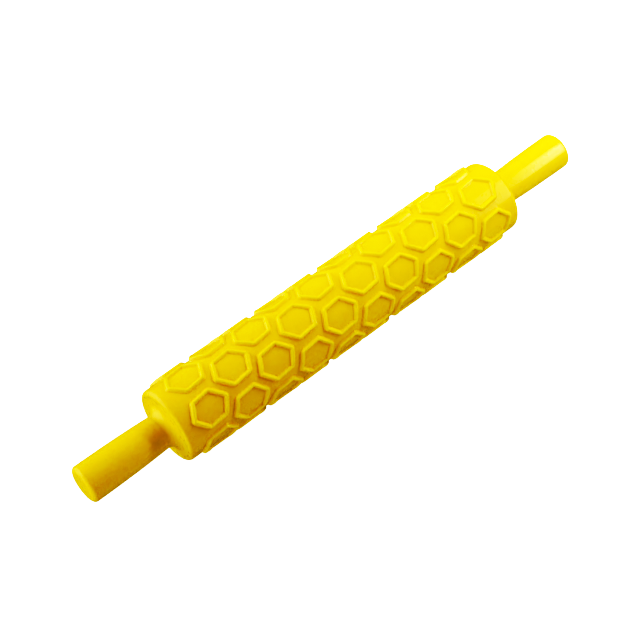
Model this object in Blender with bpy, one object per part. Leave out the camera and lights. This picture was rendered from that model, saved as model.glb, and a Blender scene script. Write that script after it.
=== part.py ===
"""Embossed rolling pin: a hollow honeycomb barrel that turns on a steel spindle between two moulded handles.

Lengths are in metres. +X runs along the pin from the left handle to the right one, +Z is up, and the origin lies on
the pin's axis at its middle. Angles round the pin are measured from +Y towards +Z.
"""

import math

import bmesh
import bpy

# Clearances
SEAT_CLEARANCE = 0.0003
RUNNING_CLEARANCE = 0.0003

# Barrel
BARREL_LENGTH = 0.2336
GROUND_RADIUS = 0.02134
BARREL_WALL = 0.0040
SHOULDER_RADIUS = 0.0024
SHOULDER_MOST_SHARE = 0.85
MOUTH_LEDGE = 0.0010
SHOULDER_STEPS = 4

# Honeycomb on the barrel
RELIEF_HEIGHT = 0.00166
FLOOR_HEIGHT = 0.0002
RIM_TOP_WIDTH = 0.0011
RIM_DRAFT = math.radians(30)
RING_PITCH = 0.02179
CHANNEL_ALONG = 0.0036
CHANNEL_ROUND = 0.0036
END_LAND = 0.0020
HEXAGONS_IN_RING = 6
HEXAGON_TURN = math.radians(-7)
FIRST_RING_ANGLE = math.radians(16.2)
SLANT_STEPS = 3

# Handles
HANDLE_LENGTH = 0.0470
HANDLE_TIP_RADIUS = 0.01065
HANDLE_ROOT_RADIUS = 0.00959
HANDLE_TAPER_POWER = 2.4
TIP_EDGE_LENGTH = 0.0024
TIP_EDGE_DEPTH = 0.0034
GRIP_STEPS = 8
TIP_EDGE_STEPS = 5
NECK_DEPTH = 0.0100

# Spindle and the threaded inserts that it screws into
SPINDLE_RADIUS = 0.0040
TENON_STEP = 0.0010
TENON_CHAMFER = 0.0005
INSERT_LENGTH = 0.0180
INSERT_WALL = 0.0020
INSERT_GROOVE_DEPTH = 0.0008
INSERT_GROOVE_SHARES = (0.38, 0.62)

# Bushes, washers and end plugs
BUSH_WALL = 0.0017
BUSH_LENGTH = 0.0140
BUSH_FLANGE_THICKNESS = 0.0014
BUSH_FLANGE_REACH = 0.0019
WASHER_THICKNESS = 0.0008
PLUG_PLATE = 0.0032
BOSS_HEIGHT = 0.0050
BOSS_FILLET_SHARE = 0.9
BOSS_FILLET_STEPS = 4
PLUG_SKIRT_LENGTH = 0.0120
PLUG_SKIRT_WALL = 0.0020
HUB_WALL = 0.0024

# Sides of the round pieces
GRIP_SIDES = 24
PLUG_SIDES = 24
FITTING_SIDES = 16

# Sizes that follow from the ones above
half_barrel = BARREL_LENGTH / 2
relief_radius = GROUND_RADIUS + RELIEF_HEIGHT
floor_radius = GROUND_RADIUS + FLOOR_HEIGHT
bore_radius = GROUND_RADIUS - BARREL_WALL
mouth_radius = bore_radius + MOUTH_LEDGE
shoulder_radius = min(SHOULDER_RADIUS, SHOULDER_MOST_SHARE * (GROUND_RADIUS - mouth_radius))

bush_bore_radius = SPINDLE_RADIUS + RUNNING_CLEARANCE
bush_radius = bush_bore_radius + BUSH_WALL
flange_radius = bush_radius + BUSH_FLANGE_REACH
hub_bore_radius = bush_radius + SEAT_CLEARANCE
hub_radius = hub_bore_radius + HUB_WALL
recess_radius = flange_radius + SEAT_CLEARANCE
recess_depth = SEAT_CLEARANCE + BUSH_FLANGE_THICKNESS + RUNNING_CLEARANCE + WASHER_THICKNESS
recess_x = BOSS_HEIGHT - recess_depth
mouth_depth = PLUG_PLATE + SEAT_CLEARANCE
plug_radius = mouth_radius - SEAT_CLEARANCE
boss_fillet = BOSS_FILLET_SHARE * min(BOSS_HEIGHT, plug_radius - HANDLE_ROOT_RADIUS)

tenon_radius = SPINDLE_RADIUS - TENON_STEP
insert_bore_radius = tenon_radius + SEAT_CLEARANCE
insert_radius = insert_bore_radius + INSERT_WALL
root_x = BOSS_HEIGHT + RUNNING_CLEARANCE
tip_x = root_x + HANDLE_LENGTH
pocket_x = root_x + NECK_DEPTH
insert_x = pocket_x + SEAT_CLEARANCE
insert_end_x = insert_x + INSERT_LENGTH
groove_x, groove_end_x = (insert_x + share * INSERT_LENGTH for share in INSERT_GROOVE_SHARES)


def clear_scene():
    """Removes whatever the scene holds."""
    for old in list(bpy.data.objects):
        bpy.data.objects.remove(old, do_unlink=True)


def make_material(name, colour, roughness, metallic=0.0):
    """A Principled material of one colour."""
    material = bpy.data.materials.new(name)
    material.use_nodes = True
    shader = material.node_tree.nodes["Principled BSDF"]
    shader.inputs["Base Color"].default_value = (*colour, 1.0)
    shader.inputs["Roughness"].default_value = roughness
    shader.inputs["Metallic"].default_value = metallic
    return material


def finish_mesh(name, shape):
    """Closes the doubled seams of a bmesh, turns its faces outwards and makes it a smooth-shaded mesh."""
    bmesh.ops.remove_doubles(shape, verts=shape.verts, dist=SEAT_CLEARANCE / 100)
    bmesh.ops.recalc_face_normals(shape, faces=shape.faces)
    mesh = bpy.data.meshes.new(name)
    shape.to_mesh(mesh)
    shape.free()
    mesh.shade_smooth()
    mesh.set_sharp_from_angle(angle=math.radians(35))
    return mesh


def place(name, mesh, material, axis, x=0.0, turned_round=False):
    """Puts a piece on the pin's axis, on the empty that carries it."""
    piece = bpy.data.objects.new(name, mesh)
    piece.data.materials.clear()
    piece.data.materials.append(material)
    bpy.context.scene.collection.objects.link(piece)
    piece.parent = axis
    piece.location.x = x
    if turned_round:
        piece.rotation_euler.z = math.pi
    return piece


def add_axis(name):
    """An empty on the pin's axis, on which one turning group of pieces rides."""
    axis = bpy.data.objects.new(name, None)
    bpy.context.scene.collection.objects.link(axis)
    return axis


def turned_mesh(name, profile, sides, closed):
    """Turns a profile of (x, radius) points once round the X axis. A closed profile makes a ring with a hole."""
    shape = bmesh.new()
    points = [shape.verts.new((x, radius, 0)) for x, radius in profile]
    ends = points[1:] + points[:1] if closed else points[1:]
    edges = [shape.edges.new(pair) for pair in zip(points, ends)]
    bmesh.ops.spin(
        shape,
        geom=points + edges,
        cent=(0, 0, 0),
        axis=(1, 0, 0),
        angle=2 * math.pi,
        steps=sides,
        use_merge=True,
    )
    return finish_mesh(name, shape)


def quarter_arc(steps):
    """Shares (along, across) of a quarter turn, from (0, 1) to (1, 0)."""
    angles = [math.pi / 2 * step / steps for step in range(steps + 1)]
    return [(math.sin(angle), math.cos(angle)) for angle in angles]


# Honeycomb barrel

half_row = math.pi / HEXAGONS_IN_RING
hexagon_half_length = RING_PITCH * 2 / 3 - CHANNEL_ALONG
hexagon_half_width = (half_row * relief_radius - CHANNEL_ROUND) / math.sin(math.pi / 3)
rim_foot = RELIEF_HEIGHT * math.tan(RIM_DRAFT)
floor_foot = (RELIEF_HEIGHT - FLOOR_HEIGHT) * math.tan(RIM_DRAFT)
plain_end = shoulder_radius + END_LAND + hexagon_half_length + RIM_TOP_WIDTH
ring_count = int((BARREL_LENGTH - 2 * plain_end) / RING_PITCH) + 1


def offset_outline(corners, distance):
    """Moves every side of a convex outline, given anticlockwise, outwards by one distance."""
    moved = []
    for before, corner, after in zip(corners[-1:] + corners[:-1], corners, corners[1:] + corners[:1]):
        arriving = (corner[0] - before[0], corner[1] - before[1])
        leaving = (after[0] - corner[0], after[1] - corner[1])
        first = (arriving[1] / math.hypot(*arriving), -arriving[0] / math.hypot(*arriving))
        second = (leaving[1] / math.hypot(*leaving), -leaving[0] / math.hypot(*leaving))
        scale = distance / (1 + first[0] * second[0] + first[1] * second[1])
        moved.append((corner[0] + scale * (first[0] + second[0]), corner[1] + scale * (first[1] + second[1])))
    return moved


def divide_sides(corners):
    """Splits a hexagon's four slanting sides, which bend round the barrel, and leaves its two long sides whole."""
    points = []
    for index, (start, end) in enumerate(zip(corners, corners[1:] + corners[:1])):
        steps = 1 if index in (1, 4) else SLANT_STEPS
        for step in range(steps):
            share = step / steps
            points.append((start[0] + share * (end[0] - start[0]), start[1] + share * (end[1] - start[1])))
    return points


def rim_outline(distance):
    """The raised hexagon's outline, laid flat as (along, round), at a distance outside its rim's middle line."""
    angles = [HEXAGON_TURN + side * math.pi / 3 for side in range(6)]
    corners = [(hexagon_half_length * math.cos(a), hexagon_half_width * math.sin(a)) for a in angles]
    return divide_sides(offset_outline(corners, distance))


def cell_outline(centre_x, first, last):
    """The hexagon's share of the barrel as (x, angle from its middle). An end ring's share reaches the shoulder."""
    near, far = RING_PITCH / 3, RING_PITCH * 2 / 3
    shoulder_x = half_barrel - shoulder_radius
    ahead = [centre_x + far, centre_x + near, centre_x + near]
    behind = [centre_x - far, centre_x - near, centre_x - near]
    if last:
        ahead = [shoulder_x] * 3
    if first:
        behind = [-shoulder_x] * 3
    return divide_sides(
        [
            (ahead[0], 0),
            (ahead[1], half_row),
            (behind[1], half_row),
            (behind[0], 0),
            (behind[2], -half_row),
            (ahead[2], -half_row),
        ]
    )


def add_loop(shape, places, radius):
    """Vertices at (x, angle) places on a cylinder round the X axis."""
    return [shape.verts.new((x, radius * math.cos(a), radius * math.sin(a))) for x, a in places]


def bridge(shape, outer, inner):
    """Joins two loops of as many vertices by a band of four-sided faces."""
    for index in range(len(outer)):
        after = (index + 1) % len(outer)
        shape.faces.new((outer[index], outer[after], inner[after], inner[index]))


def add_cell(shape, centre_x, centre_angle, first, last):
    """One hexagon: ground, outer slope, narrow flat rim, inner slope and a floor nearly level with the ground."""
    levels = [
        (RIM_TOP_WIDTH / 2 + rim_foot, GROUND_RADIUS),
        (RIM_TOP_WIDTH / 2, relief_radius),
        (-RIM_TOP_WIDTH / 2, relief_radius),
        (-RIM_TOP_WIDTH / 2 - floor_foot, floor_radius),
    ]
    edge = [(x, centre_angle + a) for x, a in cell_outline(centre_x, first, last)]
    loop = add_loop(shape, edge, GROUND_RADIUS)
    for distance, radius in levels:
        places = [
            (centre_x + along, centre_angle + round_it / relief_radius)
            for along, round_it in rim_outline(distance)
        ]
        inner = add_loop(shape, places, radius)
        bridge(shape, loop, inner)
        loop = inner
    # The floor is laid in strips along the barrel, from one slanting side to the other.
    half = len(loop) // 2
    right_side = loop[half + SLANT_STEPS + 1 :] + loop[: SLANT_STEPS + 1]
    left_side = loop[SLANT_STEPS + 1 : half + SLANT_STEPS + 1][::-1]
    for index in range(len(right_side) - 1):
        shape.faces.new((right_side[index], right_side[index + 1], left_side[index + 1], left_side[index]))


def end_loops(side):
    """(x, radius) of the loops from a shoulder's start, round it, over the end face and into the bore."""
    arc = quarter_arc(SHOULDER_STEPS)
    start_x = half_barrel - shoulder_radius
    start_radius = GROUND_RADIUS - shoulder_radius
    loops = [(start_x + along * shoulder_radius, start_radius + across * shoulder_radius) for along, across in arc]
    loops += [
        (half_barrel, mouth_radius),
        (half_barrel - mouth_depth, mouth_radius),
        (half_barrel - mouth_depth, bore_radius),
    ]
    return [(side * x, radius) for x, radius in loops]


def barrel_mesh():
    """The hollow barrel, with its rings of hexagons, each ring set half a hexagon round from the one before."""
    shape = bmesh.new()
    for ring in range(ring_count):
        centre_x = (ring - (ring_count - 1) / 2) * RING_PITCH
        ring_angle = FIRST_RING_ANGLE + ring % 2 * half_row
        for row in range(HEXAGONS_IN_RING):
            add_cell(shape, centre_x, ring_angle + row * 2 * half_row, ring == 0, ring == ring_count - 1)
    sides = 2 * SLANT_STEPS * HEXAGONS_IN_RING
    angles = [FIRST_RING_ANGLE + side * 2 * math.pi / sides for side in range(sides)]
    profile = end_loops(-1) + end_loops(1)[::-1]
    loops = [add_loop(shape, [(x, angle) for angle in angles], radius) for x, radius in profile]
    for outer, inner in zip(loops, loops[1:]):
        bridge(shape, outer, inner)
    return finish_mesh("embossed_barrel", shape)


# End pieces, each modelled with its barrel end face at x = 0 and the handle towards +X


def plug_mesh():
    """A cap with a filleted boss towards the grip, a skirt pressed into the barrel and a hub for the bush."""
    skirt = bore_radius - SEAT_CLEARANCE
    skirt_end = -PLUG_PLATE - PLUG_SKIRT_LENGTH
    hub_end = recess_x - BUSH_LENGTH
    fillet = [
        (boss_fillet - across * boss_fillet, HANDLE_ROOT_RADIUS + boss_fillet - along * boss_fillet)
        for along, across in quarter_arc(BOSS_FILLET_STEPS)[::-1]
    ]
    profile = [
        (BOSS_HEIGHT, recess_radius),
        (BOSS_HEIGHT, HANDLE_ROOT_RADIUS),
        *fillet,
        (0, plug_radius),
        (-PLUG_PLATE, plug_radius),
        (-PLUG_PLATE, skirt),
        (skirt_end, skirt),
        (skirt_end, skirt - PLUG_SKIRT_WALL),
        (-PLUG_PLATE, skirt - PLUG_SKIRT_WALL),
        (-PLUG_PLATE, hub_radius),
        (hub_end, hub_radius),
        (hub_end, hub_bore_radius),
        (recess_x, hub_bore_radius),
        (recess_x, recess_radius),
    ]
    return turned_mesh("end_plug", profile, PLUG_SIDES, closed=True)


def bush_mesh():
    """A flanged sleeve in the plug's hub."""
    flange_x = recess_x + SEAT_CLEARANCE
    face_x = flange_x + BUSH_FLANGE_THICKNESS
    end_x = recess_x - BUSH_LENGTH
    profile = [
        (face_x, bush_bore_radius),
        (face_x, flange_radius),
        (flange_x, flange_radius),
        (flange_x, bush_radius),
        (end_x, bush_radius),
        (end_x, bush_bore_radius),
    ]
    return turned_mesh("bush", profile, FITTING_SIDES, closed=True)


def washer_mesh():
    """A flat ring between the bush's flange and the handle's root."""
    profile = [
        (BOSS_HEIGHT, bush_bore_radius),
        (BOSS_HEIGHT, flange_radius),
        (BOSS_HEIGHT - WASHER_THICKNESS, flange_radius),
        (BOSS_HEIGHT - WASHER_THICKNESS, bush_bore_radius),
    ]
    return turned_mesh("thrust_washer", profile, FITTING_SIDES, closed=True)


def insert_mesh():
    """A brass nut with a groove round it that the handle's plastic grips."""
    groove_radius = insert_radius - INSERT_GROOVE_DEPTH
    profile = [
        (insert_x, insert_bore_radius),
        (insert_x, insert_radius),
        (groove_x, insert_radius),
        (groove_x, groove_radius),
        (groove_end_x, groove_radius),
        (groove_end_x, insert_radius),
        (insert_end_x, insert_radius),
        (insert_end_x, insert_bore_radius),
    ]
    return turned_mesh("threaded_insert", profile, FITTING_SIDES, closed=True)


def grip_radius(x):
    """The handle's radius: nearly straight from the tip, and drawn in towards the root."""
    share = (tip_x - x) / HANDLE_LENGTH
    return HANDLE_TIP_RADIUS - (HANDLE_TIP_RADIUS - HANDLE_ROOT_RADIUS) * share**HANDLE_TAPER_POWER


def handle_mesh():
    """A grip with a rounded tip, moulded round the insert's pocket and open to the spindle at its root."""
    neck_radius = SPINDLE_RADIUS + SEAT_CLEARANCE
    pocket_radius = insert_radius + SEAT_CLEARANCE
    ridge_radius = pocket_radius - INSERT_GROOVE_DEPTH
    ridge_x = groove_x + SEAT_CLEARANCE
    ridge_end_x = groove_end_x - SEAT_CLEARANCE
    pocket_end_x = insert_end_x + SEAT_CLEARANCE
    edge_x = tip_x - TIP_EDGE_LENGTH
    socket = [
        (pocket_end_x, 0),
        (pocket_end_x, pocket_radius),
        (ridge_end_x, pocket_radius),
        (ridge_end_x, ridge_radius),
        (ridge_x, ridge_radius),
        (ridge_x, pocket_radius),
        (pocket_x, pocket_radius),
        (pocket_x, neck_radius),
        (root_x, neck_radius),
    ]
    stations = [root_x + step / GRIP_STEPS * (edge_x - root_x) for step in range(GRIP_STEPS)]
    grip = [(x, grip_radius(x)) for x in stations]
    flat_radius = grip_radius(edge_x) - TIP_EDGE_DEPTH
    edge = [
        (edge_x + along * TIP_EDGE_LENGTH, flat_radius + across * TIP_EDGE_DEPTH)
        for along, across in quarter_arc(TIP_EDGE_STEPS)
    ]
    return turned_mesh("handle", socket + grip + edge + [(tip_x, 0)], GRIP_SIDES, closed=False)


def spindle_mesh():
    """A round rod, stepped down at both ends to the tenons that screw into the inserts."""
    shoulder_x = half_barrel + pocket_x
    end_x = half_barrel + insert_end_x
    half_profile = [
        (shoulder_x, SPINDLE_RADIUS),
        (shoulder_x, tenon_radius),
        (end_x - TENON_CHAMFER, tenon_radius),
        (end_x, tenon_radius - TENON_CHAMFER),
        (end_x, 0),
    ]
    profile = [(-x, radius) for x, radius in half_profile[::-1]] + half_profile
    return turned_mesh("spindle", profile, FITTING_SIDES, closed=False)


clear_scene()

yellow = (0.93, 0.72, 0.01)
barrel_plastic = make_material("barrel_plastic", yellow, 0.38)
plug_plastic = make_material("plug_plastic", yellow, 0.38)
handle_plastic = make_material("handle_plastic", yellow, 0.38)
bush_plastic = make_material("bush_plastic", (0.86, 0.85, 0.80), 0.45)
spindle_steel = make_material("spindle_steel", (0.62, 0.62, 0.64), 0.30, 1.0)
washer_steel = make_material("washer_steel", (0.66, 0.66, 0.68), 0.25, 1.0)
insert_brass = make_material("insert_brass", (0.72, 0.55, 0.24), 0.32, 1.0)

spindle_axis = add_axis("spindle_axis")
barrel_axis = add_axis("barrel_axis")

place("embossed_barrel", barrel_mesh(), barrel_plastic, barrel_axis)
place("spindle", spindle_mesh(), spindle_steel, spindle_axis)

end_pieces = [
    ("end_plug", plug_mesh(), plug_plastic, barrel_axis),
    ("bush", bush_mesh(), bush_plastic, barrel_axis),
    ("thrust_washer", washer_mesh(), washer_steel, spindle_axis),
    ("threaded_insert", insert_mesh(), insert_brass, spindle_axis),
    ("handle", handle_mesh(), handle_plastic, spindle_axis),
]
for piece_name, piece_mesh, piece_material, carrier in end_pieces:
    place("right_" + piece_name, piece_mesh, piece_material, carrier, half_barrel)
    place("left_" + piece_name, piece_mesh, piece_material, carrier, -half_barrel, turned_round=True)
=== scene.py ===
"""The looks of the embossed rolling pin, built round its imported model.

Lengths are in metres. +X runs along the pin and +Z is up. Angles round the pin run from +Y towards +Z.
"""

import math

import bmesh
import bpy
import numpy as np
from mathutils import Matrix, Vector


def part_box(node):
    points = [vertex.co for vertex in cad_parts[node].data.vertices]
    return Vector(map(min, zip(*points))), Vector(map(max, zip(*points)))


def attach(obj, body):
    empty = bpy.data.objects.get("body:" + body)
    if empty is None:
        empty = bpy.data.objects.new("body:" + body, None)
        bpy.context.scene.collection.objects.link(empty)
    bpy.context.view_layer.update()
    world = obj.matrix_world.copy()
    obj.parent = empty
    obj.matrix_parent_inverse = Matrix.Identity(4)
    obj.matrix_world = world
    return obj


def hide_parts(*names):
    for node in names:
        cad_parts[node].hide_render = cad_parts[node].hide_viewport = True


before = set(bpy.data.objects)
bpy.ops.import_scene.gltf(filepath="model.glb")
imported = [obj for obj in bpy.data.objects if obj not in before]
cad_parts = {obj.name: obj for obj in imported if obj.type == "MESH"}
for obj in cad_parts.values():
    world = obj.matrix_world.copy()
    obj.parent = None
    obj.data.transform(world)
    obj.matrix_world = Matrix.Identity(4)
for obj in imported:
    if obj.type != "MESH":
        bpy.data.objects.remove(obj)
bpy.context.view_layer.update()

# Embossed barrel
# The real barrel is one hollow moulding of yellow polyethylene. Sixty raised hexagons stand on it in ten
# staggered rings, each a rim with sloping sides round a floor nearly level with the ground. Both shoulders
# are rounded.

GROUND_RADIUS = 0.02134
FLOOR_HEIGHT = 0.0002
RIM_TOP_WIDTH = 0.0011
RIM_DRAFT = math.radians(30)
RIM_EDGE_ROUNDING = 0.0009
FOOT_ROUNDING = 0.0005
CORNER_ROUNDING = 0.0013
SMALLEST_ROUNDING = 0.0003
RING_PITCH = 0.02179
CHANNEL_ALONG = 0.0036
CHANNEL_ROUND = 0.0036
RINGS = 10
HEXAGONS_IN_RING = 6
HEXAGON_TURN = math.radians(-7)
FIRST_RING_ANGLE = math.radians(16.2)
SHOULDER_RADIUS = 0.0024
MOUTH_RADIUS = 0.01834
MOUTH_DEPTH = 0.0035
BORE_RADIUS = 0.01734
MOUTH_EDGE = 0.00001
SHARP_ANGLE = math.radians(40)
MERGE_DISTANCE = 1e-7
SHORTEST_EDGE = 1e-8

barrel_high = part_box("embossed_barrel")[1]
half_barrel = barrel_high.x
relief_radius = barrel_high.z
relief_height = relief_radius - GROUND_RADIUS
half_row = math.pi / HEXAGONS_IN_RING


def smooth_piece(name, points, faces):
    """A closed mesh from points and lists of faces, with doubled points merged and faces turned outwards."""
    mesh = bpy.data.meshes.new(name)
    mesh.from_pydata(points.reshape(-1, 3).tolist(), [], faces)
    shape = bmesh.new()
    shape.from_mesh(mesh)
    bmesh.ops.remove_doubles(shape, verts=shape.verts, dist=MERGE_DISTANCE)
    bmesh.ops.dissolve_degenerate(shape, dist=SHORTEST_EDGE, edges=shape.edges)
    bmesh.ops.recalc_face_normals(shape, faces=shape.faces)
    shape.to_mesh(mesh)
    shape.free()
    mesh.shade_smooth()
    mesh.set_sharp_from_angle(angle=SHARP_ANGLE)
    piece = bpy.data.objects.new(name, mesh)
    bpy.context.scene.collection.objects.link(piece)
    return piece


def band_faces(rows, columns, first=0):
    """The four-sided faces of a grid of rows by columns of points, whose last column joins its first."""
    row, column = np.meshgrid(np.arange(rows - 1), np.arange(columns), indexing="ij")
    after = (column + 1) % columns
    corners = [
        row * columns + column,
        row * columns + after,
        (row + 1) * columns + after,
        (row + 1) * columns + column,
    ]
    return (first + np.stack(corners, axis=-1).reshape(-1, 4)).tolist()


SECTION_ARC_POINTS = 5


def rounded_path(corners, radii):
    """An open path of straight runs whose inner corners are rounded.

    At each inner corner the arc starts one tangent length before it and ends one after. Its points are read
    off the circle that touches both runs."""
    corners = np.asarray(corners, float)
    share = np.linspace(0, 1, SECTION_ARC_POINTS)[:, None]
    path = [corners[:1]]
    for before, corner, after, radius in zip(corners[:-2], corners[1:-1], corners[2:], radii):
        arriving = (before - corner) / np.linalg.norm(before - corner)
        leaving = (after - corner) / np.linalg.norm(after - corner)
        inward = (arriving + leaving) / np.linalg.norm(arriving + leaving)
        half_angle = math.acos(arriving @ leaving) / 2
        middle = corner + inward * radius / math.sin(half_angle)
        start = corner + arriving * radius / math.tan(half_angle) - middle
        end = corner + leaving * radius / math.tan(half_angle) - middle
        swing = math.acos(start @ end / radius**2)
        arc = (np.sin((1 - share) * swing) * start + np.sin(share * swing) * end) / math.sin(swing)
        path.append(middle + arc)
    path.append(corners[-1:])
    return np.concatenate(path)


def hexagon_corners():
    """Corners of the rim's middle line, laid flat: a regular hexagon, turned and drawn out along the pin."""
    angles = HEXAGON_TURN + np.arange(6) * math.pi / 3
    half_length = RING_PITCH * 2 / 3 - CHANNEL_ALONG
    half_width = (half_row * relief_radius - CHANNEL_ROUND) / math.sin(math.pi / 3)
    return np.stack([half_length * np.cos(angles), half_width * np.sin(angles)], axis=1)


ARC_POINTS = 5
SIDE_POINTS = 3
POINTS_PER_SIDE = ARC_POINTS + SIDE_POINTS
ROUND_SIDES = 2 * POINTS_PER_SIDE * HEXAGONS_IN_RING


def grown_hexagon(grow):
    """Outlines parallel to the rim's middle line at the distances in grow, as (distance, point, flat place).

    Each corner is an arc about a core point that lies one rounding inside it. The rounding grows with the
    outline and stops at a smallest one on the way in, so that no arc turns inside out."""
    grow = np.asarray(grow)[:, None, None]
    rounding = np.maximum(CORNER_ROUNDING + grow, SMALLEST_ROUNDING)
    corners = hexagon_corners()
    sides = np.roll(corners, -1, axis=0) - corners
    normals = np.stack([sides[:, 1], -sides[:, 0]], axis=1) / np.linalg.norm(sides, axis=1, keepdims=True)
    before = np.roll(normals, 1, axis=0)
    core = corners + (grow - rounding) * (before + normals) / (1 + (before * normals).sum(1, keepdims=True))
    start = np.arctan2(before[:, 1], before[:, 0])
    swing = (np.arctan2(normals[:, 1], normals[:, 0]) - start) % (2 * math.pi)
    angles = start[:, None] + swing[:, None] * np.linspace(0, 1, ARC_POINTS)
    directions = np.stack([np.cos(angles), np.sin(angles)], axis=2)
    arcs = core[:, :, None] + rounding[..., None] * directions
    share = (np.arange(SIDE_POINTS) + 1)[:, None] / (SIDE_POINTS + 1)
    ahead = np.roll(arcs, -1, axis=1)
    runs = arcs[:, :, -1:] * (1 - share) + ahead[:, :, :1] * share
    middle = ARC_POINTS // 2
    outline = np.concatenate([arcs[:, :, middle:], runs, ahead[:, :, :middle]], axis=2)
    return outline.reshape(len(grow), 6 * POINTS_PER_SIDE, 2)


def ground_outline(centre_x, first, last):
    """The edge of one hexagon's share of the ground, laid flat. End rings reach the start of the shoulder."""
    near, far, row = RING_PITCH / 3, RING_PITCH * 2 / 3, half_row * relief_radius
    shoulder = half_barrel - SHOULDER_RADIUS
    ahead = [shoulder - centre_x] * 3 if last else [far, near, near]
    behind = [-shoulder - centre_x] * 3 if first else [-far, -near, -near]
    corners = np.array(
        [
            (ahead[0], 0),
            (ahead[1], row),
            (behind[1], row),
            (behind[0], 0),
            (behind[2], -row),
            (ahead[2], -row),
        ]
    )
    share = np.arange(POINTS_PER_SIDE)[:, None] / POINTS_PER_SIDE
    outline = corners[:, None] * (1 - share) + np.roll(corners, -1, axis=0)[:, None] * share
    return outline.reshape(-1, 2)


def rim_section():
    """The rim's section as (distance outside its middle line, height), from the floor over to the ground."""
    half_top = RIM_TOP_WIDTH / 2
    inner_foot = -half_top - (relief_height - FLOOR_HEIGHT) * math.tan(RIM_DRAFT)
    outer_foot = half_top + relief_height * math.tan(RIM_DRAFT)
    corners = [
        (inner_foot - FOOT_ROUNDING, FLOOR_HEIGHT),
        (inner_foot, FLOOR_HEIGHT),
        (-half_top, relief_height),
        (half_top, relief_height),
        (outer_foot, 0),
        (outer_foot + FOOT_ROUNDING, 0),
    ]
    return rounded_path(corners, [FOOT_ROUNDING, RIM_EDGE_ROUNDING, RIM_EDGE_ROUNDING, FOOT_ROUNDING])


def around_axis(x, angle, radius):
    """Points at a place along the pin, an angle round it and a distance from its axis."""
    return np.stack(np.broadcast_arrays(x, radius * np.cos(angle), radius * np.sin(angle)), axis=-1)


FLOOR_SHARES = (0.02, 0.26, 0.5, 0.75)
GROUND_SHARES = (0.33, 0.66, 1.0)


def honeycomb_points():
    """Every hexagon as (hexagon, level, point, xyz), its levels from the floor's middle to the ground's edge.

    The floor's levels are the rim's inner foot shrunk towards the middle. The rim's levels are parallel
    outlines at the heights of its section. The ground's levels blend the outer foot into the edge of the
    hexagon's share."""
    section = rim_section()
    rim = grown_hexagon(section[:, 0])
    floor_share = np.array(FLOOR_SHARES)[:, None, None]
    ground_share = np.array(GROUND_SHARES)[:, None, None]
    floor_heights = np.full(len(FLOOR_SHARES), FLOOR_HEIGHT)
    heights = np.concatenate([floor_heights, section[:, 1], np.zeros(len(GROUND_SHARES))])
    radius = GROUND_RADIUS + heights[None, :, None]
    cells = []
    for ring in range(RINGS):
        centre_x = (ring - (RINGS - 1) / 2) * RING_PITCH
        edge = ground_outline(centre_x, ring == 0, ring == RINGS - 1)
        flat = np.concatenate([floor_share * rim[0], rim, rim[-1] + ground_share * (edge - rim[-1])])
        rows = FIRST_RING_ANGLE + ring % 2 * half_row + 2 * half_row * np.arange(HEXAGONS_IN_RING)
        angle = rows[:, None, None] + flat[None, :, :, 1] / relief_radius
        cells.append(around_axis(centre_x + flat[None, :, :, 0], angle, radius))
    return np.concatenate(cells)


SHOULDER_ARC_POINTS = 9


def shoulder_points():
    """Both shoulders and mouths, and the bore between them, as (loop, point, xyz)."""
    arc = np.linspace(0, math.pi / 2, SHOULDER_ARC_POINTS)
    shoulder = np.stack(
        [
            half_barrel - SHOULDER_RADIUS * (1 - np.sin(arc)),
            GROUND_RADIUS - SHOULDER_RADIUS * (1 - np.cos(arc)),
        ],
        axis=1,
    )
    mouth = [
        (half_barrel, MOUTH_RADIUS + MOUTH_EDGE),
        (half_barrel - MOUTH_EDGE, MOUTH_RADIUS),
        (half_barrel - MOUTH_DEPTH, MOUTH_RADIUS),
        (half_barrel - MOUTH_DEPTH, BORE_RADIUS),
    ]
    right = np.concatenate([shoulder, mouth])
    profile = np.concatenate([right, right[::-1] * (-1, 1)])
    angle = FIRST_RING_ANGLE + np.arange(ROUND_SIDES) * 2 * math.pi / ROUND_SIDES
    return around_axis(profile[:, :1], angle[None], profile[:, 1:])


def true_up_flats(mesh):
    """Floors and ground shade as true cylinders: there each point's normal points straight off the axis."""
    points = np.empty(len(mesh.vertices) * 3)
    mesh.vertices.foreach_get("co", points)
    across = points.reshape(-1, 3) * (0, 1, 1)
    radius = np.linalg.norm(across, axis=1, keepdims=True)
    on_floor = abs(radius - GROUND_RADIUS - FLOOR_HEIGHT) < MERGE_DISTANCE
    on_ground = abs(radius - GROUND_RADIUS) < MERGE_DISTANCE
    normals = np.where(on_floor | on_ground, across / radius, 0)
    mesh.normals_split_custom_set_from_vertices(normals.tolist())


def build_barrel():
    """One closed mesh: the hexagons' levels, a small face that closes each floor, the shoulders and bore."""
    cells = honeycomb_points()
    hexagons, levels, around = cells.shape[:3]
    faces = []
    for hexagon in range(hexagons):
        first = hexagon * levels * around
        faces += band_faces(levels, around, first)
        faces.append(list(range(first, first + around)))
    ends = shoulder_points()
    faces += band_faces(ends.shape[0], ends.shape[1], hexagons * levels * around)
    points = np.concatenate([cells.reshape(-1, 3), ends.reshape(-1, 3)])
    piece = smooth_piece("honeycomb_barrel", points, faces)
    true_up_flats(piece.data)
    return piece


def add_node(nodes, kind, place, **values):
    """A node at a place in a graph of nodes, with the named inputs or settings given."""
    node = nodes.new(kind)
    node.location = place
    for name, value in values.items():
        if name in node.inputs:
            node.inputs[name].default_value = value
        else:
            setattr(node, name, value)
    return node


def add_range(nodes, place, from_span, to_span, **values):
    """A Map Range node that carries one span of values over to another."""
    (from_low, from_high), (to_low, to_high) = from_span, to_span
    ends = {"From Min": from_low, "From Max": from_high, "To Min": to_low, "To Max": to_high}
    return add_node(nodes, "ShaderNodeMapRange", place, **ends, **values)


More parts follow.
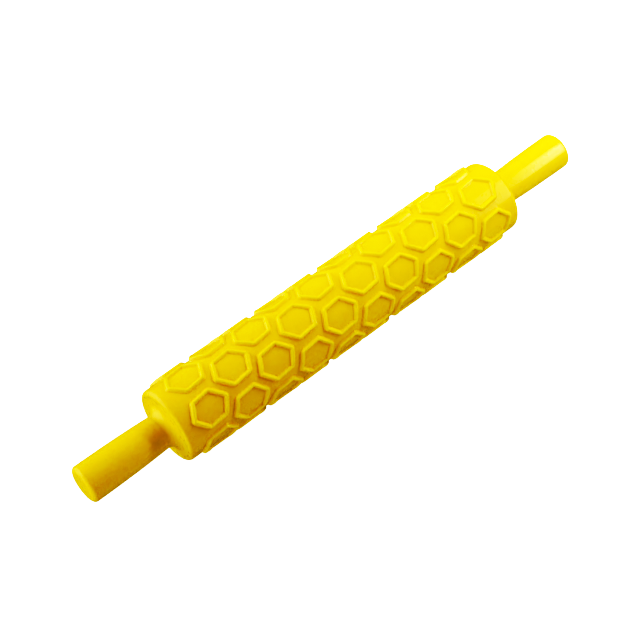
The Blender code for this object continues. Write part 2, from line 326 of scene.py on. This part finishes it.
# Painted shade in the barrel's recesses and a painted highlight on its rim tops, blended by height below.
RECESS_SHADE_YELLOW = (0.85, 0.545, 0.006)
RIM_HIGHLIGHT_YELLOW = (0.88, 0.63, 0.010)
CLOUD_SHADE = (0.985, 1.005)
SATIN_ROUGHNESS = (0.25, 0.31)
BROAD_SWELL = 0.0001
FINE_SKIN = 0.00003
TRANSLUCENCY = 0.45
LIGHT_REACH = 0.003
LIGHT_REACH_BY_COLOUR = (1.0, 0.80, 0.10)
PLASTIC_IOR = 1.51


def moulded_plastic(name, offset, recess_shade_colour, rim_highlight_colour):
    """Satin yellow polyethylene: a faint cloud in its colour, a soft uneven gloss and a fine moulded skin.

    Three noises on Object coordinates drive it: a broad one for colour, a middle one for gloss, and a fine
    one, with the middle one, for the height of the skin. The offset shifts them, so that no two pieces
    share a pattern. Light passes a few millimetres into the plastic. The colour holds painted light: a
    painted highlight on the raised rims and painted shade on the ground and floors below them, blended by
    height: colour = recess shade colour + (rim highlight colour - recess shade colour) * (distance from the
    axis - ground radius) / relief height, eased. Where the two colours are the same, nothing is painted."""
    material = bpy.data.materials.new(name)
    material.use_nodes = True
    nodes, links = material.node_tree.nodes, material.node_tree.links
    shader = nodes["Principled BSDF"]
    shader.inputs["Subsurface Weight"].default_value = TRANSLUCENCY
    shader.inputs["Subsurface Radius"].default_value = LIGHT_REACH_BY_COLOUR
    shader.inputs["Subsurface Scale"].default_value = LIGHT_REACH
    shader.inputs["IOR"].default_value = PLASTIC_IOR
    place = add_node(nodes, "ShaderNodeTexCoord", (-1300, 0))
    shift = add_node(nodes, "ShaderNodeMapping", (-1100, 0), Location=offset)
    links.new(place.outputs["Object"], shift.inputs["Vector"])
    cloud = add_node(nodes, "ShaderNodeTexNoise", (-900, 260), Scale=28.0, Detail=3.0, Roughness=0.5)
    flow = add_node(nodes, "ShaderNodeTexNoise", (-900, 0), Scale=160.0, Detail=3.0, Roughness=0.55)
    skin = add_node(nodes, "ShaderNodeTexNoise", (-900, -260), Scale=2600.0, Detail=2.0, Roughness=0.6)
    for texture in (cloud, flow, skin):
        links.new(shift.outputs["Vector"], texture.inputs["Vector"])
    across = add_node(nodes, "ShaderNodeVectorMath", (-1100, 520), operation="MULTIPLY")
    across.inputs[1].default_value = (0.0, 1.0, 1.0)
    distance = add_node(nodes, "ShaderNodeVectorMath", (-900, 520), operation="LENGTH")
    links.new(place.outputs["Object"], across.inputs[0])
    links.new(across.outputs["Vector"], distance.inputs[0])
    # Painted highlight and shade: a share that runs from 0 on the ground to 1 on the rim tops picks between
    # the two colours.
    relief_span = (GROUND_RADIUS, relief_radius)
    raised = add_range(nodes, (-700, 520), relief_span, (0.0, 1.0), interpolation_type="SMOOTHSTEP")
    links.new(distance.outputs["Value"], raised.inputs["Value"])
    tint = add_node(nodes, "ShaderNodeMix", (-480, 520), data_type="RGBA")
    links.new(raised.outputs["Result"], tint.inputs["Factor"])
    shade_and_highlight_inputs = [socket for socket in tint.inputs if socket.type == "RGBA"]
    shade_and_highlight_inputs[0].default_value = (*recess_shade_colour, 1)
    shade_and_highlight_inputs[1].default_value = (*rim_highlight_colour, 1)
    shade = add_range(nodes, (-700, 260), (0.35, 0.65), CLOUD_SHADE)
    links.new(cloud.outputs["Fac"], shade.inputs["Value"])
    clouded = add_node(nodes, "ShaderNodeVectorMath", (-260, 400), operation="SCALE")
    links.new([socket for socket in tint.outputs if socket.type == "RGBA"][0], clouded.inputs[0])
    links.new(shade.outputs["Result"], clouded.inputs["Scale"])
    links.new(clouded.outputs["Vector"], shader.inputs["Base Color"])
    gloss = add_range(nodes, (-480, 0), (0.3, 0.7), SATIN_ROUGHNESS)
    links.new(flow.outputs["Fac"], gloss.inputs["Value"])
    links.new(gloss.outputs["Result"], shader.inputs["Roughness"])
    broad = add_node(nodes, "ShaderNodeBump", (-480, -260), Strength=0.03, Distance=BROAD_SWELL)
    fine = add_node(nodes, "ShaderNodeBump", (-260, -260), Strength=0.12, Distance=FINE_SKIN)
    links.new(flow.outputs["Fac"], broad.inputs["Height"])
    links.new(skin.outputs["Fac"], fine.inputs["Height"])
    links.new(broad.outputs["Normal"], fine.inputs["Normal"])
    links.new(fine.outputs["Normal"], shader.inputs["Normal"])
    return material


barrel = build_barrel()
# The barrel's colour carries the painted recess shade and rim highlight; the caps and grips below paint none.
barrel_look = moulded_plastic("barrel_plastic_look", (0.0, 0.0, 0.0), RECESS_SHADE_YELLOW, RIM_HIGHLIGHT_YELLOW)
barrel.data.materials.append(barrel_look)
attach(barrel, "barrel")
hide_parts("embossed_barrel")

# End plugs
# Each mouth of the barrel is closed by a moulded cap of the same plastic, pressed in until its plate is flush
# with the barrel's end face. A boss on it, with a wide fillet at its foot, meets the grip's root at the same
# radius.

PLUG_SEAM = 0.00001
PLUG_EDGE = 0.00001
PLAIN_YELLOW = (0.85, 0.56, 0.006)


def turned_points(profile, sides, mirrored):
    """A profile of (x, radius) rows turned round the pin's axis, as (loop, point, xyz)."""
    angle = FIRST_RING_ANGLE + np.arange(sides) * 2 * math.pi / sides
    profile = np.asarray(profile, float)
    if mirrored:
        profile = profile * (-1, 1)
    return around_axis(profile[:, :1], angle[None], profile[:, 1:])


def turned_ring(name, profile, sides, mirrored):
    """A ring turned from a closed profile of (x, radius): its last loop joins its first."""
    loops = turned_points(np.concatenate([profile, profile[:1]]), sides, mirrored)
    return smooth_piece(name, loops, band_faces(len(loops), sides))


plug_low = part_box("right_end_plug")[0]
RECESS_RADIUS = 0.0082
RECESS_DEPTH = 0.0028
HUB_BORE_RADIUS = 0.0063
BOSS_RADIUS = 0.00959
BOSS_HEIGHT = 0.0050
FILLET = 0.0045
FILLET_ARC_POINTS = 13
boss_top = half_barrel + BOSS_HEIGHT
plug_rim = MOUTH_RADIUS - PLUG_SEAM


def plug_profile():
    """The cap's closed section, whose fillet is a quarter circle.

    x = half barrel + fillet (1 - cos a), radius = boss radius + fillet (1 - sin a)."""
    arc = np.linspace(math.pi / 2, 0, FILLET_ARC_POINTS)
    fillet = np.stack(
        [half_barrel + FILLET * (1 - np.cos(arc)), BOSS_RADIUS + FILLET * (1 - np.sin(arc))],
        axis=1,
    )
    outside = [
        (half_barrel, plug_rim - PLUG_EDGE),
        (half_barrel - PLUG_EDGE, plug_rim),
        (half_barrel - MOUTH_DEPTH + PLUG_SEAM, plug_rim),
        (half_barrel - MOUTH_DEPTH + PLUG_SEAM, BORE_RADIUS - PLUG_SEAM),
        (plug_low.x, BORE_RADIUS - PLUG_SEAM),
        (plug_low.x, HUB_BORE_RADIUS),
        (boss_top - RECESS_DEPTH, HUB_BORE_RADIUS),
        (boss_top - RECESS_DEPTH, RECESS_RADIUS),
        (boss_top, RECESS_RADIUS),
        (boss_top, BOSS_RADIUS - PLUG_EDGE),
        (boss_top - PLUG_EDGE, BOSS_RADIUS),
    ]
    return np.concatenate([fillet, outside])


for side, offset in (("left", (0.31, 0.0, 0.0)), ("right", (0.67, 0.0, 0.0))):
    plug = turned_ring(side + "_plug_cap", plug_profile(), ROUND_SIDES, side == "left")
    plug.data.materials.append(moulded_plastic(side + "_plug_look", offset, PLAIN_YELLOW, PLAIN_YELLOW))
    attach(plug, "barrel")
    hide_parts(side + "_end_plug")

# Handles
# Each grip is moulded in the same yellow plastic round a brass nut. It is straight near its rounded tip and
# draws in a little towards its root, which runs just off the cap's boss on the spindle.

TIP_RADIUS = 0.01065
TAPER_POWER = 2.4
GRIP_LENGTH = 0.0470
TIP_EDGE_LENGTH = 0.0024
TIP_EDGE_DEPTH = 0.0034
ROOT_GAP = 0.00001
ROOT_EDGE = 0.00001
NECK_RADIUS = 0.0043
NECK_DEPTH = 0.0100
GRIP_SIDES = 128
GRIP_LOOPS = 40
TIP_ARC_POINTS = 14

tip_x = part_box("right_handle")[1].x
root_x = boss_top + ROOT_GAP


def grip_profile():
    """The grip's section, from its hollow root to its tip, whose edge is a quarter of an ellipse.

    radius = tip radius - (tip radius - boss radius) * share ** taper power, where the share is the distance
    from the tip / grip length."""
    edge_x = tip_x - TIP_EDGE_LENGTH
    x = np.linspace(root_x + ROOT_EDGE, edge_x, GRIP_LOOPS)
    share = (tip_x - x) / GRIP_LENGTH
    radius = TIP_RADIUS - (TIP_RADIUS - BOSS_RADIUS) * share**TAPER_POWER
    arc = np.linspace(0, math.pi / 2, TIP_ARC_POINTS)[1:]
    edge = np.stack(
        [edge_x + TIP_EDGE_LENGTH * np.sin(arc), radius[-1] - TIP_EDGE_DEPTH * (1 - np.cos(arc))], axis=1
    )
    root = [
        (root_x + NECK_DEPTH, 0),
        (root_x + NECK_DEPTH, NECK_RADIUS),
        (root_x, NECK_RADIUS),
        (root_x, radius[0] - ROOT_EDGE),
    ]
    tip_face = [(tip_x, edge[-1, 1] / 2), (tip_x, 0)]
    return np.concatenate([root, np.stack([x, radius], axis=1), edge, tip_face])


for side, offset in (("left", (0.0, 0.41, 0.0)), ("right", (0.0, 0.83, 0.0))):
    loops = turned_points(grip_profile(), GRIP_SIDES, side == "left")
    grip = smooth_piece(side + "_grip", loops, band_faces(len(loops), GRIP_SIDES))
    grip.data.materials.append(moulded_plastic(side + "_grip_look", offset, PLAIN_YELLOW, PLAIN_YELLOW))
    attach(grip, "handles_and_spindle")
    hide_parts(side + "_handle")

# Spindle, washers, inserts and bushes
# The spindle is a drawn steel rod, the washers are stamped from steel sheet, the inserts are turned brass
# nuts and the bushes are moulded nylon. All of them sit inside, behind the hairline between a grip's root
# and its cap.

STAIN_SHADE = 0.86
TOOL_GLOSS_SPREAD = 0.06
TOOL_MARK_DEPTH = 0.00002
SHADED_NYLON = (0.80, 0.78, 0.71, 1)
MILKY_NYLON = (0.88, 0.87, 0.82, 1)


def turned_metal(name, colour, roughness, ring_scale):
    """Bare metal with fine tool rings: a wave along the axis, broken by noise, moves gloss and height."""
    material = bpy.data.materials.new(name)
    material.use_nodes = True
    nodes, links = material.node_tree.nodes, material.node_tree.links
    shader = nodes["Principled BSDF"]
    shader.inputs["Metallic"].default_value = 1.0
    place = add_node(nodes, "ShaderNodeTexCoord", (-900, 0))
    rings = add_node(nodes, "ShaderNodeTexWave", (-680, 0), Scale=ring_scale, Distortion=1.5, Detail=2.0)
    stain = add_node(nodes, "ShaderNodeTexNoise", (-680, 300), Scale=90.0, Detail=4.0)
    links.new(place.outputs["Object"], rings.inputs["Vector"])
    links.new(place.outputs["Object"], stain.inputs["Vector"])
    tint = add_node(nodes, "ShaderNodeValToRGB", (-440, 300))
    tint.color_ramp.elements[0].color = (*[channel * STAIN_SHADE for channel in colour], 1)
    tint.color_ramp.elements[1].color = (*colour, 1)
    links.new(stain.outputs["Fac"], tint.inputs["Fac"])
    links.new(tint.outputs["Color"], shader.inputs["Base Color"])
    gloss_span = (roughness - TOOL_GLOSS_SPREAD, roughness + TOOL_GLOSS_SPREAD)
    gloss = add_range(nodes, (-440, 0), (0.0, 1.0), gloss_span)
    links.new(rings.outputs["Fac"], gloss.inputs["Value"])
    links.new(gloss.outputs["Result"], shader.inputs["Roughness"])
    bump = add_node(nodes, "ShaderNodeBump", (-440, -260), Strength=0.2, Distance=TOOL_MARK_DEPTH)
    links.new(rings.outputs["Fac"], bump.inputs["Height"])
    links.new(bump.outputs["Normal"], shader.inputs["Normal"])
    return material


def nylon(name):
    """Milky nylon: slightly translucent, with a faint cloud in its colour and a soft gloss."""
    material = bpy.data.materials.new(name)
    material.use_nodes = True
    nodes, links = material.node_tree.nodes, material.node_tree.links
    shader = nodes["Principled BSDF"]
    shader.inputs["Roughness"].default_value = 0.45
    shader.inputs["Subsurface Weight"].default_value = 0.3
    shader.inputs["Subsurface Scale"].default_value = 0.003
    place = add_node(nodes, "ShaderNodeTexCoord", (-900, 0))
    cloud = add_node(nodes, "ShaderNodeTexNoise", (-680, 0), Scale=120.0, Detail=3.0)
    links.new(place.outputs["Object"], cloud.inputs["Vector"])
    tint = add_node(nodes, "ShaderNodeValToRGB", (-440, 0))
    tint.color_ramp.elements[0].color = SHADED_NYLON
    tint.color_ramp.elements[1].color = MILKY_NYLON
    links.new(cloud.outputs["Fac"], tint.inputs["Fac"])
    links.new(tint.outputs["Color"], shader.inputs["Base Color"])
    return material


drawn_steel = turned_metal("drawn_steel", colour=(0.62, 0.62, 0.64), roughness=0.30, ring_scale=900.0)
stamped_steel = turned_metal("stamped_steel", colour=(0.66, 0.66, 0.68), roughness=0.25, ring_scale=600.0)
turned_brass = turned_metal("turned_brass", colour=(0.72, 0.55, 0.24), roughness=0.32, ring_scale=700.0)
inner_finishes = [
    (drawn_steel, ["spindle"]),
    (stamped_steel, ["left_thrust_washer", "right_thrust_washer"]),
    (turned_brass, ["left_threaded_insert", "right_threaded_insert"]),
    (nylon("moulded_nylon"), ["left_bush", "right_bush"]),
]
for finish, names in inner_finishes:
    for name in names:
        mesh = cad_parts[name].data
        mesh.materials.clear()
        mesh.materials.append(finish)

# Floor
# A plain white studio table, lit from within, on which the pin lies on its rims with hardly a shadow. It
# casts no light on the pin and isn't mirrored in it.

HALF_FLOOR = 12.0
FLOOR_COLOUR = (0.93, 0.93, 0.93, 1)
FLOOR_GLOW = 0.95

floor_mesh = bpy.data.meshes.new("studio_floor")
floor_mesh.from_pydata(
    [
        (-HALF_FLOOR, -HALF_FLOOR, 0),
        (HALF_FLOOR, -HALF_FLOOR, 0),
        (HALF_FLOOR, HALF_FLOOR, 0),
        (-HALF_FLOOR, HALF_FLOOR, 0),
    ],
    [],
    [(0, 1, 2, 3)],
)
floor = bpy.data.objects.new("studio_floor", floor_mesh)
floor.location.z = -relief_radius
bpy.context.scene.collection.objects.link(floor)
floor_paint = bpy.data.materials.new("studio_floor_paint")
floor_paint.use_nodes = True
floor_shader = floor_paint.node_tree.nodes["Principled BSDF"]
floor_shader.inputs["Base Color"].default_value = FLOOR_COLOUR
floor_shader.inputs["Roughness"].default_value = 0.9
floor_shader.inputs["Specular IOR Level"].default_value = 0.1
floor_shader.inputs["Emission Color"].default_value = (1.0, 1.0, 1.0, 1.0)
floor_shader.inputs["Emission Strength"].default_value = FLOOR_GLOW
floor_mesh.materials.append(floor_paint)
floor.visible_diffuse = False
floor.visible_glossy = False

# Light
# Soft white studio light: a broad window behind and to the left, a wall at the left, a weak fill from below
# in front, and two square lamps and a strip lamp past the right grip. The camera sees only a white backdrop.


def add_lamp(name, place, aim, size, power, mirrored):
    """A white rectangular area lamp at a place, facing an aim point, which the plastic may mirror or not."""
    light = bpy.data.lights.new(name, "AREA")
    light.shape = "RECTANGLE"
    light.size, light.size_y = size
    light.energy = power
    lamp = bpy.data.objects.new(name, light)
    lamp.location = place
    lamp.rotation_euler = (Vector(aim) - Vector(place)).to_track_quat("-Z", "Y").to_euler()
    lamp.visible_glossy = mirrored
    bpy.context.scene.collection.objects.link(lamp)


add_lamp("right_back_lamp", (0.33, 0.12, 0.36), (0.0, 0.0, 0.0), (0.3, 0.3), power=1.00, mirrored=False)
add_lamp("right_front_lamp", (0.34, -0.20, 0.20), (0.12, 0.0, 0.0), (0.2, 0.2), power=0.18, mirrored=False)
add_lamp("strip_lamp", (0.41, -0.24, 0.30), (0.41, 0.0, 0.0), (0.07, 0.42), power=1.35, mirrored=True)

# Each row is a direction, how narrow the glow round it is, and its strength. The room's light in a direction
# is the sum of strength * (cosine of the angle to the row's direction) ** narrowness, where that cosine is
# above zero.
ROOM_LIGHT = [
    ((-0.60, 0.80, 0.40), 5.0, 1.90),
    ((0.0, 1.0, 0.40), 5.0, 0.50),
    ((-1.0, 0.0, 0.0), 1.0, 0.60),
    ((-0.95, -0.10, 0.12), 5.0, 0.30),
    ((0.30, -0.80, -0.50), 3.0, 0.33),
    ((0.80, -0.10, -0.60), 3.0, 0.16),
]

world = bpy.data.worlds.new("studio_room")
bpy.context.scene.world = world
world.use_nodes = True
room_nodes, room_links = world.node_tree.nodes, world.node_tree.links
room = room_nodes["Background"]
looking = add_node(room_nodes, "ShaderNodeTexCoord", (-1100, 0))
total = None
for row, (towards, narrowness, strength) in enumerate(ROOM_LIGHT):
    facing = add_node(room_nodes, "ShaderNodeVectorMath", (-900, -220 * row), operation="DOT_PRODUCT")
    facing.inputs[1].default_value = Vector(towards).normalized()
    ahead = add_node(room_nodes, "ShaderNodeMath", (-720, -220 * row), operation="MAXIMUM")
    ahead.inputs[1].default_value = 0.0
    glow = add_node(room_nodes, "ShaderNodeMath", (-540, -220 * row), operation="POWER")
    glow.inputs[1].default_value = narrowness
    added = add_node(room_nodes, "ShaderNodeMath", (-360, -220 * row), operation="MULTIPLY_ADD")
    added.inputs[1].default_value = strength
    added.inputs[2].default_value = 0.0
    room_links.new(looking.outputs["Generated"], facing.inputs[0])
    room_links.new(facing.outputs["Value"], ahead.inputs[0])
    room_links.new(ahead.outputs["Value"], glow.inputs[0])
    room_links.new(glow.outputs["Value"], added.inputs[0])
    if total:
        room_links.new(total, added.inputs[2])
    total = added.outputs["Value"]
seen = add_node(room_nodes, "ShaderNodeLightPath", (-360, 300))
backdrop = add_node(room_nodes, "ShaderNodeMath", (-180, 0), operation="MAXIMUM")
room_links.new(seen.outputs["Is Camera Ray"], backdrop.inputs[0])
room_links.new(total, backdrop.inputs[1])
room_links.new(backdrop.outputs["Value"], room.inputs["Color"])

# Camera
# It stands to the left of the pin's front and looks down on it, so that the left grip is the near one. Its
# response deepens shade, lifts light and loses weak blue, which turns bright yellow to lemon and shaded
# yellow to orange.

CAMERA_AZIMUTH = math.radians(38.185)
CAMERA_ELEVATION = math.radians(51.819)
CAMERA_ROLL = math.radians(-3.708)
CAMERA_DISTANCE = 0.8573
PIN_RIGHT_OF_CENTRE = 0.009383
PIN_ABOVE_CENTRE = 0.007943
SENSOR_WIDTH = 36.0
FOCAL_SHARE_OF_WIDTH = 2.4974
BLUE_FLOOR = 0.055
TONE_CURVE = [
    (0.131, 0.1),
    (0.177, 0.2),
    (0.207, 0.3),
    (0.243, 0.4),
    (0.303, 0.55),
    (0.416, 0.7),
    (0.579, 0.85),
]

forward = Vector(
    (
        math.sin(CAMERA_AZIMUTH) * math.cos(CAMERA_ELEVATION),
        math.cos(CAMERA_AZIMUTH) * math.cos(CAMERA_ELEVATION),
        -math.sin(CAMERA_ELEVATION),
    )
)
level_right = Vector((math.cos(CAMERA_AZIMUTH), -math.sin(CAMERA_AZIMUTH), 0.0))
level_up = level_right.cross(forward)
right = math.cos(CAMERA_ROLL) * level_right + math.sin(CAMERA_ROLL) * level_up
up = right.cross(forward)
camera = bpy.data.objects.new("photo_camera", bpy.data.cameras.new("photo_camera"))
camera.data.sensor_fit = "HORIZONTAL"
camera.data.sensor_width = SENSOR_WIDTH
camera.data.lens = SENSOR_WIDTH * FOCAL_SHARE_OF_WIDTH
turn = Matrix((right, up, -forward)).transposed().to_4x4()
place = -forward * CAMERA_DISTANCE - right * PIN_RIGHT_OF_CENTRE - up * PIN_ABOVE_CENTRE
camera.matrix_world = Matrix.Translation(place) @ turn
bpy.context.scene.collection.objects.link(camera)
bpy.context.scene.camera = camera
view = bpy.context.scene.view_settings
view.view_transform = "Standard"
view.use_curve_mapping = True
blue_curve, tone_curve = view.curve_mapping.curves[2:]
for light, tone in TONE_CURVE:
    tone_curve.points.new(light, tone)
blue_curve.points.new(BLUE_FLOOR, 0.0).handle_type = "VECTOR"
view.curve_mapping.update()
